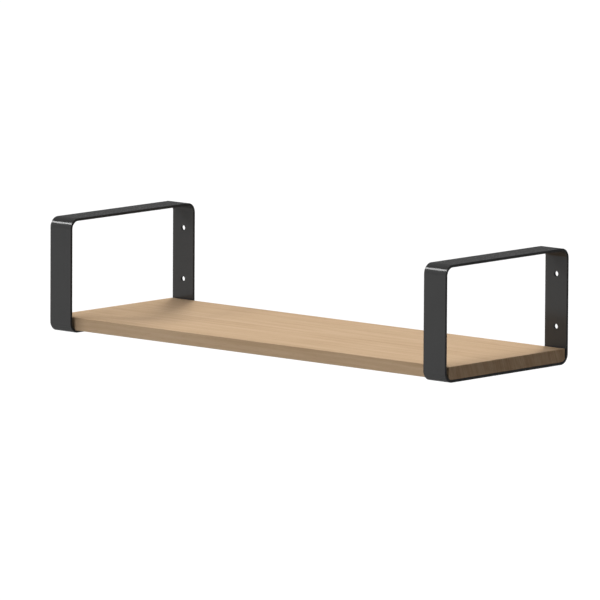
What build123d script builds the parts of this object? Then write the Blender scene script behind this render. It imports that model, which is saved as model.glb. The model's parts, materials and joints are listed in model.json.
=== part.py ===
"""Wall shelf: a solid wood board that lies in two closed loops of bent flat bar.

Millimetres. +X runs along the shelf to the right, +Y into the wall, +Z up.
The origin is the centre of the four wall holes, on the wall plane.
"""
import os

from build123d import *

# Board
board_length = 600.0
board_depth = 200.0
board_thickness = 15.0
board_edge_round = 0.8

# Flat bar and the loop it is bent into
bar_width = 32.0
bar_thickness = 3.0
bar_edge_bevel = 0.4
loop_height = 132.5
bend_inner_radius = 9.0

# Room between the board and the upright legs
front_gap = 4.5
back_gap = 2.0

# The board's lower corners are cut back along the bends
corner_clearance = 0.4
corner_side_clearance = 0.6

# Wall holes in the back legs, measured from the loop's underside and from its top
wall_hole_diameter = 6.0
lower_wall_hole_height = 41.5
upper_wall_hole_drop = 31.0

# Countersunk wood screws, driven up through the bottom legs
screw_diameter = 3.5
screw_head_diameter = 7.0
screw_head_rim = 0.35
screw_head_recess = 0.15
screw_tip_length = 4.0
screw_tip_flat = 0.3
screw_inset = 45.0
wood_over_tip = 2.0
screw_clearance = 0.08

# Cross recess in each screw head
recess_span = 4.0
recess_wall = 0.9
recess_depth = 1.5
recess_taper = 12.0

# Places that follow from the sizes above
loop_depth = board_depth + front_gap + back_gap + 2 * bar_thickness
wall_hole_spacing = loop_height - lower_wall_hole_height - upper_wall_hole_drop
loop_bottom = -(lower_wall_hole_height + wall_hole_spacing / 2)
seat_height = loop_bottom + bar_thickness
leg_front = -loop_depth + bar_thickness
leg_back = -bar_thickness
board_front = leg_front + front_gap
board_back = leg_back - back_gap
bracket_x = (board_length - bar_width) / 2
bracket_places = {"left_bracket": -bracket_x, "right_bracket": bracket_x}
screw_rows = (board_front + screw_inset, board_back - screw_inset)
screw_face = loop_bottom + screw_head_recess
screw_length = bar_thickness + board_thickness - wood_over_tip - screw_head_recess


def screw_places(bracket_middles):
    """Where the faces of the screw heads lie, two to a bracket."""
    return [Pos(x, y, screw_face) for x in bracket_middles for y in screw_rows]


def screw_outline(margin, head_drop):
    """Half section of a screw, grown by margin, with its head reaching head_drop below the head's face."""
    head = screw_head_diameter / 2 + margin
    shank = screw_diameter / 2 + margin
    cone_end = screw_head_rim + head - shank
    tip_start = screw_length - screw_tip_length + margin
    with BuildSketch(Plane.XZ) as outline:
        with BuildLine():
            Polyline(
                (0, -head_drop),
                (head, -head_drop),
                (head, screw_head_rim),
                (shank, cone_end),
                (shank, tip_start),
                (screw_tip_flat + margin, screw_length + margin),
                (0, screw_length + margin),
                close=True,
            )
        make_face()
    return outline.sketch


def cross_recess():
    """Tapered cross for the driver, open at the head's face."""
    with BuildPart() as recess:
        with BuildSketch():
            Rectangle(recess_span, recess_wall)
            Rectangle(recess_wall, recess_span)
        extrude(amount=recess_depth, taper=recess_taper)
    return recess.part


def screw():
    """One wood screw on +Z with the face of its head at the origin."""
    body = revolve(screw_outline(0, 0), axis=Axis.Z)
    return body - cross_recess()


def screw_hole():
    """Room for one screw, open below its head."""
    return revolve(screw_outline(screw_clearance, bar_thickness), axis=Axis.Z)


def bracket(middle_x):
    """Closed loop of flat bar: its side outline at the bar's width, with bevelled edges, then drilled."""
    outer_radius = bend_inner_radius + bar_thickness
    middle = Pos(middle_x, -loop_depth / 2, loop_bottom + loop_height / 2)
    with BuildPart() as loop:
        with BuildSketch(Plane.YZ.offset(-bar_width / 2)):
            RectangleRounded(loop_depth, loop_height, outer_radius)
            RectangleRounded(
                loop_depth - 2 * bar_thickness,
                loop_height - 2 * bar_thickness,
                bend_inner_radius,
                mode=Mode.SUBTRACT,
            )
        extrude(amount=bar_width)
        rims = loop.faces().sort_by(Axis.X)
        chamfer(rims[0].edges() + rims[-1].edges(), length=bar_edge_bevel)
    solid = middle * loop.part
    wall_drill = Rot(90, 0, 0) * Cylinder(wall_hole_diameter / 2, 4 * bar_thickness)
    for height in (-wall_hole_spacing / 2, wall_hole_spacing / 2):
        solid -= Pos(middle_x, -bar_thickness / 2, height) * wall_drill
    for place in screw_places([middle_x]):
        solid -= place * screw_hole()
    return solid


def corner_cut(leg_face, inward):
    """What the board loses to one bend: the corner outside an arc of the bend's own radius.

    The arc is moved in from the upright leg by the clearance and ends level on the seat.
    """
    reach = bend_inner_radius + corner_clearance
    width = bar_width + 2 * corner_side_clearance
    corner = Pos(0, leg_face + inward * reach / 2, seat_height + bend_inner_radius / 2)
    block = corner * Box(width, reach, bend_inner_radius)
    bend = Pos(0, leg_face + inward * reach, seat_height + bend_inner_radius)
    return block - bend * Rot(0, 90, 0) * Cylinder(bend_inner_radius, 2 * width)


def shelf_board():
    """Board with eased edges, cut back at the four bends and drilled for the screws."""
    middle = Pos(0, (board_front + board_back) / 2, seat_height + board_thickness / 2)
    blank = Box(board_length, board_depth, board_thickness)
    solid = middle * fillet(blank.edges(), radius=board_edge_round)
    for middle_x in bracket_places.values():
        solid -= Pos(middle_x, 0, 0) * corner_cut(leg_front, 1)
        solid -= Pos(middle_x, 0, 0) * corner_cut(leg_back, -1)
    for place in screw_places(bracket_places.values()):
        solid -= place * screw_hole()
    return solid


def shelf_screws():
    """All four screws, kept as separate solids."""
    return Compound(children=[place * screw() for place in screw_places(bracket_places.values())])


pieces = {name: bracket(x) for name, x in bracket_places.items()}
pieces["shelf_board"] = shelf_board()
pieces["shelf_screws"] = shelf_screws()

os.makedirs("parts", exist_ok=True)
for name, piece in pieces.items():
    export_step(piece, f"parts/{name}.step")
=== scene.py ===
"""Looks of the wall shelf: a straight-grained wood board in two powder-coated flat-bar loops.

Metres, in the frame of the CAD part: +X along the shelf, +Y into the wall, +Z up.
"""
import json
import math

import bmesh
import bpy
from bl_math import clamp, lerp
from mathutils import Matrix, Vector


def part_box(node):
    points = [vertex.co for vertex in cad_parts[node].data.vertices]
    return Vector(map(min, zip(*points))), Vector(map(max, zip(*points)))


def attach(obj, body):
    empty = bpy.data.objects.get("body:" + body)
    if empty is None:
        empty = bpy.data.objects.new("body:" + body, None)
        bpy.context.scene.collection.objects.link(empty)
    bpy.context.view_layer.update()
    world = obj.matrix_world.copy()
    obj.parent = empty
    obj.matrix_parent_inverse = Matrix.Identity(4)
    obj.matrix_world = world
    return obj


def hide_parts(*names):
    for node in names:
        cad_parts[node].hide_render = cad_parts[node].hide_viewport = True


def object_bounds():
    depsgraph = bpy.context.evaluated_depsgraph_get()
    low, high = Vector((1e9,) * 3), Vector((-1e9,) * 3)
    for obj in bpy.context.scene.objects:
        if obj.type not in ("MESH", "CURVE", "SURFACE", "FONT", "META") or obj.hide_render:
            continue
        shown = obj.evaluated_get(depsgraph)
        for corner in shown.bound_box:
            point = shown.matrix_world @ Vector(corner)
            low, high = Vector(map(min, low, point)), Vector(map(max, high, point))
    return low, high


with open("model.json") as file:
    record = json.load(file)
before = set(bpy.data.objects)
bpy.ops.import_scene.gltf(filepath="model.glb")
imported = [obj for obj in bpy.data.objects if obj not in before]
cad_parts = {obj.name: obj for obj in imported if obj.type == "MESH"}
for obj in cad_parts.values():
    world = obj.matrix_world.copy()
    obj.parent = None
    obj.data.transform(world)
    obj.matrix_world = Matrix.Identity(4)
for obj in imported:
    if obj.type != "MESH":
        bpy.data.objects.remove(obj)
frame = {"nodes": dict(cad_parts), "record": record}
cad_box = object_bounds()

# Directions, and the unit of the record's hole sizes
ALONG = Vector((1.0, 0.0, 0.0))
WALLWARD = Vector((0.0, 1.0, 0.0))
UP = Vector((0.0, 0.0, 1.0))
MILLIMETRE = 0.001

# Flat bar of the loops
BAR_THICKNESS = 0.003
BAR_EDGE_RADIUS = 0.0002
BEND_INNER_RADIUS = 0.009
HOLE_RIM_RADIUS = 0.00015

# Countersunk screw holes in the bottom legs
SCREW_RADIUS = 0.00175
SCREW_HEAD_RADIUS = 0.0035
SCREW_HEAD_DEPTH = 0.0005
SCREW_CLEARANCE = 0.00008

# Steps of the meshes to a bend, to a rounded edge and to a full turn
BEND_STEPS = 24
EDGE_STEPS = 4
TURN_STEPS = 64

# Cutting: how far a cutter stands out of the bar, and how near two points become one
CUTTER_REACH = 0.003
MERGE_DISTANCE = 0.000001

# Angle above which the shading keeps an edge sharp
SHARP_DEGREES = 40.0

# Noise: detail of plain and of fine patterns, and the range that holds most of its values
PLAIN_DETAIL = 2.0
FINE_DETAIL = 1.0
NOISE_RANGE = (0.25, 0.75)

# Grain of the wood: repeats to a metre along, across and through the board, detail, and depth of tone
GRAIN = {
    "bands": ((1.3, 60.0, 4.0), 2.0, 0.11),
    "streaks": ((9.0, 170.0, 60.0), 1.0, 0.14),
    "rings": ((3.5, 600.0, 20.0), 1.0, 0.18),
    "fibres": ((14.0, 2200.0, 2200.0), 2.0, 0.12),
}

# Course of the grain: how far it leans with height, and how it wanders sideways
GRAIN_LEAN = 0.35
WANDER_SCALE = (1.6, 9.0, 9.0)
WANDER = 0.016

# Pores of the wood: short dark lines with the grain, where the noise passes through a range
PORE_SCALE = (95.0, 2400.0, 2400.0)
PORE_RANGE = (0.62, 0.72)
PORE_COLOUR = (0.33, 0.20, 0.11, 1.0)
PORE_SHARE = 0.35
PORE_DEPTH = 0.4

# Colour of the wood by tone, on its long faces and on the ends that look along the shelf
MIDDLE_TONE = 0.5
WOOD_TONES = [
    (0.10, (0.416, 0.280, 0.164)),
    (0.50, (0.520, 0.364, 0.227)),
    (0.90, (0.598, 0.439, 0.290)),
]
END_TONES = [
    (0.25, (0.430, 0.280, 0.164)),
    (0.50, (0.520, 0.352, 0.215)),
    (0.75, (0.590, 0.414, 0.264)),
]
END_SLOPES = (0.5, 0.95)

# Finish of the wood: roughness over a range of tones, gloss, and strength and depth of the bump
WOOD_TONE_RANGE = (0.2, 0.8)
WOOD_ROUGHNESS = (0.90, 0.82)
WOOD_GLOSS = 0.25
WOOD_BUMP = (0.35, 0.0001)

# Powder coat: features to a metre, and the share of its grains in tone and in height
COAT_CLOUDS = 14.0
COAT_PEEL = 700.0
COAT_GRAINS = 5000.0
COAT_GRAIN_TONE = 0.6
COAT_GRAIN_HEIGHT = 0.25

# Colour of the coat by tone, the tones that its roughness spans, and strength and depth of the bump
COAT_TONES = [
    (0.5, (0.044, 0.044, 0.044)),
    (1.0, (0.049, 0.049, 0.049)),
]
COAT_TONE_RANGE = (0.5, 1.1)
COAT_BUMP = (0.2, 0.00004)

# Sheen of the coat: grades from the satin of the bar's faces to the dull of its cut edges and undersides
SATIN_ROUGHNESS = (0.12, 0.16)
SATIN_GLOSS = 0.26
DULL_ROUGHNESS = (0.48, 0.52)
DULL_GLOSS = 0.08
COAT_GRADES = 5

# Lean of a face's normal: along the shelf on a cut edge, and down where an underside starts and is full
EDGE_SLOPE = 0.1
UNDERSIDE_SLOPES = (0.15, 0.75)

# Screw plating: scuffs to a metre and their detail, colour, roughness, and strength and depth of the bump
PLATE_SCUFFS = 900.0
PLATE_DETAIL = 3.0
PLATE_TONES = [
    (0.35, (0.10, 0.10, 0.105)),
    (0.75, (0.24, 0.24, 0.25)),
]
PLATE_TONE_RANGE = (0.3, 0.7)
PLATE_ROUGHNESS = (0.34, 0.48)
PLATE_BUMP = (0.2, 0.00003)

# Photograph: its size, and where the middle of the part's box is seen in it
PHOTO_PIXELS = 600
PHOTO_MIDDLE = (306.63, 289.69)

# Camera that fits the photograph's edges: angles in degrees, and the focal length in pixels
CAMERA_AZIMUTH = 41.514
CAMERA_ELEVATION = 7.960
CAMERA_ROLL = 0.338
CAMERA_DISTANCE = 11.402
CAMERA_FOCAL_PIXELS = 10009.6
CAMERA_REACH = 100.0
SENSOR_MM = 36.0

# Studio: the floor's place and size, its tone to bounced light, its own light, and the sky's level
FLOOR_DROP = 0.6
FLOOR_RADIUS = 19.0
FLOOR_RIM_HEIGHT = 1.65
FLOOR_BOUNCE = 0.22
FLOOR_GLOW = 0.7
SKY_LEVEL = 0.09

# Soft lamps: direction towards the lamp, strength, width in degrees, and whether reflections show it
LAMPS = {
    "back_left_key": ((-0.469, 0.695, 0.545), 2.45, 18.0, False),
    "overhead_left": ((-0.249, 0.209, 0.945), 1.54, 42.0, True),
    "front_fill": ((0.0, -0.993, 0.12), 1.22, 26.0, False),
    "front_left_fill": ((-0.636, -0.707, 0.309), 0.52, 56.0, True),
    "front_left_glint": ((-0.656, -0.429, 0.620), 0.72, 14.0, True),
}


def feed(tree, socket, value):
    """Sets a socket to a plain value, or links another node's output to it."""
    if isinstance(value, bpy.types.NodeSocket):
        tree.links.new(value, socket)
    else:
        socket.default_value = value


def add_node(tree, kind, inputs=None, **settings):
    """Adds one shader node; an input is a plain value or another node's output."""
    made = tree.nodes.new(kind)
    for name, value in settings.items():
        setattr(made, name, value)
    for key, value in (inputs or {}).items():
        feed(tree, made.inputs[key], value)
    return made


def calculate(tree, operation, first, second=0.0):
    """Output of one math node."""
    return add_node(tree, "ShaderNodeMath", {0: first, 1: second}, operation=operation).outputs[0]


def stretched(tree, vector, factors):
    """A vector multiplied axis by axis."""
    return add_node(tree, "ShaderNodeVectorMath", {0: vector, 1: factors}, operation="MULTIPLY").outputs[0]


def noise(tree, vector, detail, scale=1.0):
    """Grey noise with scale features to each unit of the vector."""
    inputs = {"Vector": vector, "Scale": scale, "Detail": detail}
    return add_node(tree, "ShaderNodeTexNoise", inputs).outputs["Fac"]


def ramp(tree, value, stops):
    """Colour that follows a value through (place, colour) stops."""
    made = add_node(tree, "ShaderNodeValToRGB", {"Fac": value})
    elements = made.color_ramp.elements
    while len(elements) < len(stops):
        elements.new(1.0)
    for element, (place, colour) in zip(elements, stops):
        element.position = place
        element.color = (*colour, 1.0)
    return made.outputs["Color"]


def span(tree, value, old, new=(0.0, 1.0)):
    """A value moved from an old range to a new one, held at the ends."""
    inputs = {"Value": value, "From Min": old[0], "From Max": old[1], "To Min": new[0], "To Max": new[1]}
    return add_node(tree, "ShaderNodeMapRange", inputs).outputs["Result"]


def mixed(tree, share, first, second):
    """Two colours mixed."""
    made = add_node(tree, "ShaderNodeMix", {0: share}, data_type="RGBA")
    colours = [socket for socket in made.inputs if socket.type == "RGBA"]
    feed(tree, colours[0], first)
    feed(tree, colours[1], second)
    return [socket for socket in made.outputs if socket.type == "RGBA"][0]


def bump(tree, height, strength, depth):
    """Normal of a surface raised and lowered by a grey pattern."""
    inputs = {"Height": height, "Strength": strength, "Distance": depth}
    return add_node(tree, "ShaderNodeBump", inputs).outputs["Normal"]


def facing_along(tree, slopes):
    """How far a face looks along the shelf: 0 at the first slope of its normal, 1 at the second."""
    normal = add_node(tree, "ShaderNodeNewGeometry").outputs["Normal"]
    along = add_node(tree, "ShaderNodeSeparateXYZ", {0: normal}).outputs["X"]
    return span(tree, calculate(tree, "ABSOLUTE", along), slopes)


def object_place(tree):
    """Place on the piece, in metres."""
    return add_node(tree, "ShaderNodeTexCoord").outputs["Object"]


def new_material(name):
    """A node material and its tree."""
    material = bpy.data.materials.new(name)
    material.use_nodes = True
    return material, material.node_tree


def set_surface(tree, inputs):
    """Feeds the principled shader by the names of its inputs."""
    shader = tree.nodes["Principled BSDF"]
    for name, value in inputs.items():
        feed(tree, shader.inputs[name], value)


def wood():
    """Quarter-sawn light wood: growth rings stand nearly upright and run the length of the board."""
    material, tree = new_material("light_wood")
    place = object_place(tree)
    parts = add_node(tree, "ShaderNodeSeparateXYZ", {0: place}).outputs
    sideways = noise(tree, stretched(tree, place, WANDER_SCALE), PLAIN_DETAIL)
    wander = calculate(tree, "MULTIPLY", sideways, WANDER)
    lean = calculate(tree, "MULTIPLY", parts["Z"], GRAIN_LEAN)
    across = calculate(tree, "ADD", calculate(tree, "ADD", parts["Y"], lean), wander)
    grain = add_node(tree, "ShaderNodeCombineXYZ", {0: parts["X"], 1: across, 2: parts["Z"]}).outputs[0]
    tones = {}
    for name, (scale, detail, depth) in GRAIN.items():
        pattern = noise(tree, stretched(tree, grain, scale), detail)
        tones[name] = span(tree, pattern, NOISE_RANGE, (-depth, depth))
    tone = MIDDLE_TONE
    for part in tones.values():
        tone = calculate(tree, "ADD", part, tone)
    pores = span(tree, noise(tree, stretched(tree, grain, PORE_SCALE), FINE_DETAIL), PORE_RANGE)
    colour = ramp(tree, tone, WOOD_TONES)
    colour = mixed(tree, calculate(tree, "MULTIPLY", pores, PORE_SHARE), colour, PORE_COLOUR)
    colour = mixed(tree, facing_along(tree, END_SLOPES), colour, ramp(tree, tone, END_TONES))
    height = calculate(tree, "SUBTRACT", tones["fibres"], calculate(tree, "MULTIPLY", pores, PORE_DEPTH))
    surface = {
        "Base Color": colour,
        "Roughness": span(tree, tone, WOOD_TONE_RANGE, WOOD_ROUGHNESS),
        "Normal": bump(tree, height, *WOOD_BUMP),
        "Specular IOR Level": WOOD_GLOSS,
    }
    set_surface(tree, surface)
    return material


def powder_coat(name, roughness, gloss):
    """Black powder coat with a fine orange-peel surface."""
    material, tree = new_material(name)
    place = object_place(tree)
    clouds = noise(tree, place, PLAIN_DETAIL, COAT_CLOUDS)
    peel = noise(tree, place, FINE_DETAIL, COAT_PEEL)
    grains = noise(tree, place, FINE_DETAIL, COAT_GRAINS)
    tone = calculate(tree, "ADD", clouds, calculate(tree, "MULTIPLY", grains, COAT_GRAIN_TONE))
    height = calculate(tree, "ADD", peel, calculate(tree, "MULTIPLY", grains, COAT_GRAIN_HEIGHT))
    surface = {
        "Base Color": ramp(tree, tone, COAT_TONES),
        "Roughness": span(tree, tone, COAT_TONE_RANGE, roughness),
        "Normal": bump(tree, height, *COAT_BUMP),
        "Specular IOR Level": gloss,
    }
    set_surface(tree, surface)
    return material


def graded_coats():
    """Powder coats in even grades from satin to dull."""
    coats = []
    for grade in range(COAT_GRADES):
        share = grade / (COAT_GRADES - 1)
        roughness = [lerp(satin, dull, share) for satin, dull in zip(SATIN_ROUGHNESS, DULL_ROUGHNESS)]
        gloss = lerp(SATIN_GLOSS, DULL_GLOSS, share)
        coats.append(powder_coat(f"black_powder_coat_{grade}", roughness, gloss))
    return coats


def dullness(normal):
    """How dull the coat is on a face: fully on the bar's cut edges, and more and more as it looks down."""
    if abs(normal.x) > EDGE_SLOPE:
        return 1.0
    start, full = UNDERSIDE_SLOPES
    return clamp((-normal.z - start) / (full - start))


def screw_metal():
    """Black zinc plate with brighter worn patches."""
    material, tree = new_material("black_zinc")
    scuffs = noise(tree, object_place(tree), PLATE_DETAIL, PLATE_SCUFFS)
    surface = {
        "Base Color": ramp(tree, scuffs, PLATE_TONES),
        "Roughness": span(tree, scuffs, PLATE_TONE_RANGE, PLATE_ROUGHNESS),
        "Normal": bump(tree, scuffs, *PLATE_BUMP),
        "Metallic": 1.0,
    }
    set_surface(tree, surface)
    return material


def paint(piece, *materials):
    """Gives a piece these materials and no others."""
    piece.data.materials.clear()
    for material in materials:
        piece.data.materials.append(material)


def add_object(name, data):
    """A new object in the scene."""
    made = bpy.data.objects.new(name, data)
    bpy.context.scene.collection.objects.link(made)
    return made


def new_mesh(name, points, faces):
    """A mesh with its faces as they are given."""
    mesh = bpy.data.meshes.new(name)
    mesh.from_pydata(points, [], faces)
    return mesh


def edit(mesh, change):
    """Makes a change to a mesh through its edit form."""
    work = bmesh.new()
    work.from_mesh(mesh)
    change(work)
    work.to_mesh(mesh)
    work.free()


def solid_mesh(name, points, faces):
    """A closed mesh with its faces turned outwards."""
    mesh = new_mesh(name, points, faces)
    edit(mesh, lambda work: bmesh.ops.recalc_face_normals(work, faces=work.faces))
    return mesh


def quarter_turn(start, steps):
    """Cosines and sines over a quarter turn that starts at a given quarter."""
    angles = [math.pi / 2 * (start + step / steps) for step in range(steps + 1)]
    return [(math.cos(angle), math.sin(angle)) for angle in angles]


def circle(middle, radius, first, second):
    """Points round a circle, from the first direction towards the second."""
    points = []
    for step in range(TURN_STEPS):
        angle = 2 * math.pi * step / TURN_STEPS
        points.append(middle + radius * (math.cos(angle) * first + math.sin(angle) * second))
    return points


def skin(rings, width, closed):
    """Faces between neighbouring rings of points, and from the last ring to the first if closed."""
    faces = []
    for ring in range(rings if closed else rings - 1):
        here = ring * width
        ahead = (ring + 1) % rings * width
        for step in range(width):
            beside = (step + 1) % width
            faces.append((here + step, here + beside, ahead + beside, ahead + step))
    return faces


def loop_stations(low, high):
    """Places on the inner face round a loop, with the outward direction at each, seen in the YZ plane."""
    inset = BAR_THICKNESS + BEND_INNER_RADIUS
    bends = [
        (high.y - inset, high.z - inset),
        (low.y + inset, high.z - inset),
        (low.y + inset, low.z + inset),
        (high.y - inset, low.z + inset),
    ]
    stations = []
    for start, (y, z) in enumerate(bends):
        for out_y, out_z in quarter_turn(start, BEND_STEPS):
            out = Vector((0.0, out_y, out_z))
            stations.append((Vector((0.0, y, z)) + BEND_INNER_RADIUS * out, out))
    return stations


def bar_section(low, high):
    """Outline of the flat bar across X and through its thickness, with rounded edges."""
    radius = BAR_EDGE_RADIUS
    corners = [
        (high.x - radius, BAR_THICKNESS - radius),
        (low.x + radius, BAR_THICKNESS - radius),
        (low.x + radius, radius),
        (high.x - radius, radius),
    ]
    outline = []
    for start, (x, depth) in enumerate(corners):
        for side, out in quarter_turn(start, EDGE_STEPS):
            outline.append((x + radius * side, depth + radius * out))
    return outline


def swept_loop(name, low, high):
    """Closed mesh of the bar's section carried round the loop."""
    section = bar_section(low, high)
    stations = loop_stations(low, high)
    points = []
    for place, out in stations:
        for x, depth in section:
            points.append(place + depth * out + x * ALONG)
    return solid_mesh(name, points, skin(len(stations), len(section), closed=True))


def turned(name, profile, foot, axis):
    """Solid of revolution: profile gives (distance along the axis from foot, radius)."""
    side = axis.orthogonal().normalized()
    points = []
    for distance, radius in profile:
        points += circle(foot + distance * axis, radius, side, axis.cross(side))
    first_end = tuple(range(TURN_STEPS))
    last_end = tuple(range(len(points) - TURN_STEPS, len(points)))
    faces = skin(len(profile), TURN_STEPS, closed=False)
    return add_object(name, solid_mesh(name, points, [*faces, first_end, last_end]))


def wall_hole(radius, foot):
    """Cutter for a wall hole through a back leg, rounded at both mouths."""
    mouth = [
        (HOLE_RIM_RADIUS * (1 - across), radius + HOLE_RIM_RADIUS * (1 - inward))
        for across, inward in quarter_turn(0, EDGE_STEPS)
    ]
    far_mouth = [(BAR_THICKNESS - depth, width) for depth, width in reversed(mouth)]
    start = (-CUTTER_REACH, radius + HOLE_RIM_RADIUS)
    end = (BAR_THICKNESS + CUTTER_REACH, radius + HOLE_RIM_RADIUS)
    return turned("wall_hole", [start, *mouth, *far_mouth, end], foot, -WALLWARD)


def screw_hole(foot):
    """Cutter for a countersunk hole, from the underside of a bottom leg."""
    head = SCREW_HEAD_RADIUS + SCREW_CLEARANCE
    shank = SCREW_RADIUS + SCREW_CLEARANCE
    profile = [
        (-CUTTER_REACH, head),
        (SCREW_HEAD_DEPTH, head),
        (SCREW_HEAD_DEPTH + head - shank, shank),
        (BAR_THICKNESS + CUTTER_REACH, shank),
    ]
    return turned("screw_hole", profile, foot, UP)


def cut(piece, cutters):
    """Subtracts the cutters from a piece, closes the slivers that this leaves, and removes the cutters."""
    for cutter in cutters:
        modifier = piece.modifiers.new(cutter.name, "BOOLEAN")
        modifier.object = cutter
        modifier.solver = "EXACT"
    graph = bpy.context.evaluated_depsgraph_get()
    mesh = bpy.data.meshes.new_from_object(piece.evaluated_get(graph))
    edit(mesh, lambda work: bmesh.ops.remove_doubles(work, verts=work.verts, dist=MERGE_DISTANCE))
    piece.modifiers.clear()
    piece.data = mesh
    for cutter in cutters:
        bpy.data.objects.remove(cutter)


def shade(piece):
    """Smooth shading that keeps flat faces flat."""
    for polygon in piece.data.polygons:
        polygon.use_smooth = True
    piece.data.set_sharp_from_angle(angle=math.radians(SHARP_DEGREES))
    modifier = piece.modifiers.new("flat_faces", "WEIGHTED_NORMAL")
    modifier.keep_sharp = True


def bracket(node, coats):
    """One loop, with its bends, rounded edges and holes, in the place of its CAD node."""
    low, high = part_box(node)
    middle_x = (low.x + high.x) / 2
    piece = add_object(node + "_coated", swept_loop(node, low, high))
    mounts = {mount["name"]: mount for mount in frame["record"]["mounts"]}
    holes = mounts["wall_fixings"]
    hole_radius = holes["dims"]["hole_r_mm"] * MILLIMETRE
    half_spacing = holes["dims"]["spacing_y_mm"] * MILLIMETRE / 2
    hole_heights = [holes["pos_m"][2] + side * half_spacing for side in (-1, 1)]
    screws_low, screws_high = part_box("shelf_screws")
    screw_rows = (screws_low.y + SCREW_HEAD_RADIUS, screws_high.y - SCREW_HEAD_RADIUS)
    cutters = [wall_hole(hole_radius, Vector((middle_x, high.y, height))) for height in hole_heights]
    cutters += [screw_hole(Vector((middle_x, row, low.z))) for row in screw_rows]
    cut(piece, cutters)
    shade(piece)
    paint(piece, *coats)
    for polygon in piece.data.polygons:
        polygon.material_index = round(dullness(polygon.normal) * (COAT_GRADES - 1))
    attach(piece, "root")
    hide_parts(node)


def grey(level):
    """A neutral colour."""
    return (level, level, level, 1.0)


def floor_material():
    """White to the camera and in reflections, with the part's shadow; a dim surface to bounced light."""
    material, tree = new_material("studio_floor")
    tree.nodes.clear()
    path = add_node(tree, "ShaderNodeLightPath").outputs
    seen = calculate(tree, "MAXIMUM", path["Is Camera Ray"], path["Is Glossy Ray"])
    seen = calculate(tree, "MAXIMUM", seen, path["Is Transmission Ray"])
    bounce = add_node(tree, "ShaderNodeBsdfDiffuse", {"Color": grey(FLOOR_BOUNCE)}).outputs[0]
    white = add_node(tree, "ShaderNodeBsdfDiffuse", {"Color": grey(1 - FLOOR_GLOW)}).outputs[0]
    glow = add_node(tree, "ShaderNodeEmission", {"Strength": FLOOR_GLOW}).outputs[0]
    bright = add_node(tree, "ShaderNodeAddShader", {0: white, 1: glow}).outputs[0]
    top = add_node(tree, "ShaderNodeMixShader", {0: seen, 1: bounce, 2: bright}).outputs[0]
    clear = add_node(tree, "ShaderNodeBsdfTransparent").outputs[0]
    below = add_node(tree, "ShaderNodeNewGeometry").outputs["Backfacing"]
    surface = add_node(tree, "ShaderNodeMixShader", {0: below, 1: top, 2: clear}).outputs[0]
    add_node(tree, "ShaderNodeOutputMaterial", {"Surface": surface})
    return material


def floor():
    """A wide round floor with a low rim, facing up and inwards."""
    ground = Vector((0.0, 0.0, cad_box[0].z - FLOOR_DROP))
    points = []
    for middle in (ground + FLOOR_RIM_HEIGHT * UP, ground):
        points += circle(middle, FLOOR_RADIUS, ALONG, WALLWARD)
    ground_face = tuple(range(TURN_STEPS, 2 * TURN_STEPS))
    rim_faces = skin(2, TURN_STEPS, closed=False)
    made = add_object("studio_floor", new_mesh("studio_floor", points, [*rim_faces, ground_face]))
    paint(made, floor_material())


def lamps():
    """Soft lamps above, on the left and in front."""
    for name, (direction, strength, width, reflected) in LAMPS.items():
        light = bpy.data.lights.new(name, "SUN")
        light.energy = strength
        light.angle = math.radians(width)
        made = add_object(name, light)
        made.visible_glossy = reflected
        made.rotation_euler = Vector(direction).to_track_quat("Z", "Y").to_euler()


def sky():
    """A dim even sky."""
    world = bpy.data.worlds.new("studio")
    bpy.context.scene.world = world
    world.use_nodes = True
    background = world.node_tree.nodes["Background"].inputs
    background["Color"].default_value = grey(1.0)
    background["Strength"].default_value = SKY_LEVEL


def camera():
    """The photograph's view, with the middle of the part's box at its place in the frame."""
    azimuth = math.radians(CAMERA_AZIMUTH)
    elevation = math.radians(CAMERA_ELEVATION)
    roll = math.radians(CAMERA_ROLL)
    outward = math.sin(azimuth) * ALONG - math.cos(azimuth) * WALLWARD
    back = math.cos(elevation) * outward + math.sin(elevation) * UP
    level = math.cos(azimuth) * ALONG + math.sin(azimuth) * WALLWARD
    upright = back.cross(level)
    right = math.cos(roll) * level + math.sin(roll) * upright
    up = math.cos(roll) * upright - math.sin(roll) * level
    metres_per_pixel = CAMERA_DISTANCE / CAMERA_FOCAL_PIXELS
    aside = (PHOTO_MIDDLE[0] - PHOTO_PIXELS / 2) * metres_per_pixel
    above = (PHOTO_PIXELS / 2 - PHOTO_MIDDLE[1]) * metres_per_pixel
    data = bpy.data.cameras.new("camera")
    data.sensor_width = SENSOR_MM
    data.lens = CAMERA_FOCAL_PIXELS / PHOTO_PIXELS * SENSOR_MM
    data.clip_end = CAMERA_REACH
    made = add_object("camera", data)
    turn = Matrix((right, up, back)).transposed().to_4x4()
    middle = (cad_box[0] + cad_box[1]) / 2
    place = middle + CAMERA_DISTANCE * back - aside * right - above * up
    made.matrix_world = Matrix.Translation(place) @ turn
    bpy.context.scene.camera = made


coats = graded_coats()
for node in ("left_bracket", "right_bracket"):
    bracket(node, coats)
paint(frame["nodes"]["shelf_board"], wood())
paint(frame["nodes"]["shelf_screws"], screw_metal())
floor()
lamps()
sky()
camera()
bpy.context.scene.view_settings.view_transform = "Standard"
